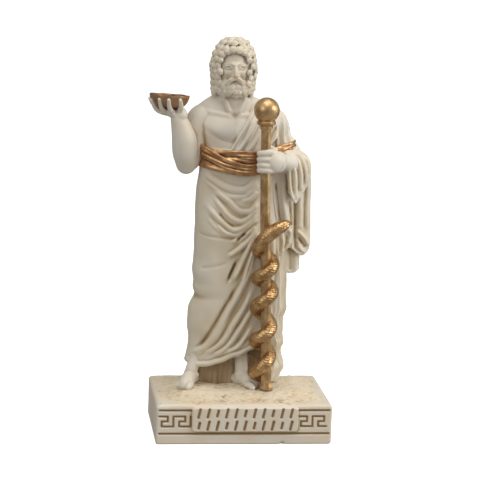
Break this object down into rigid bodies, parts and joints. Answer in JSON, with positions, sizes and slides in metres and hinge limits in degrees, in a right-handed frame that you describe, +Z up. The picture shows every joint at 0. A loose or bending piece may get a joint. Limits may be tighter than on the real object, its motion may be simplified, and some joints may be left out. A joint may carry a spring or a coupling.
{
  "type": "asclepius statuette",
  "caption": "Small cast statuette of a bearded healer in a wrapped cloak, holding up a bowl and a staff with a serpent round it, on a block plinth with a key pattern.",
  "frame": {"origin": "middle of the plinth's underside", "axes": "+Z up, the figure faces -Y, and its raised right hand with the bowl is towards -X"},
  "size_m": [0.0794, 0.051, 0.1687],
  "materials": {
    "ivory_plinth": "matt ivory cast stone resin with a brown wash in its grooves",
    "ivory_figure": "satin ivory cast stone resin with an ochre wash in its folds, sash painted antique gold",
    "gilt": "antique gold paint with brown in its recesses",
    "copper_gilt": "dark coppery gold paint, browner inside"
  },
  "bodies": {
    "root": {"plinth": "ivory_plinth", "figure": "ivory_figure", "serpent_staff": "gilt", "bowl": "copper_gilt"}
  },
  "joints": []
}
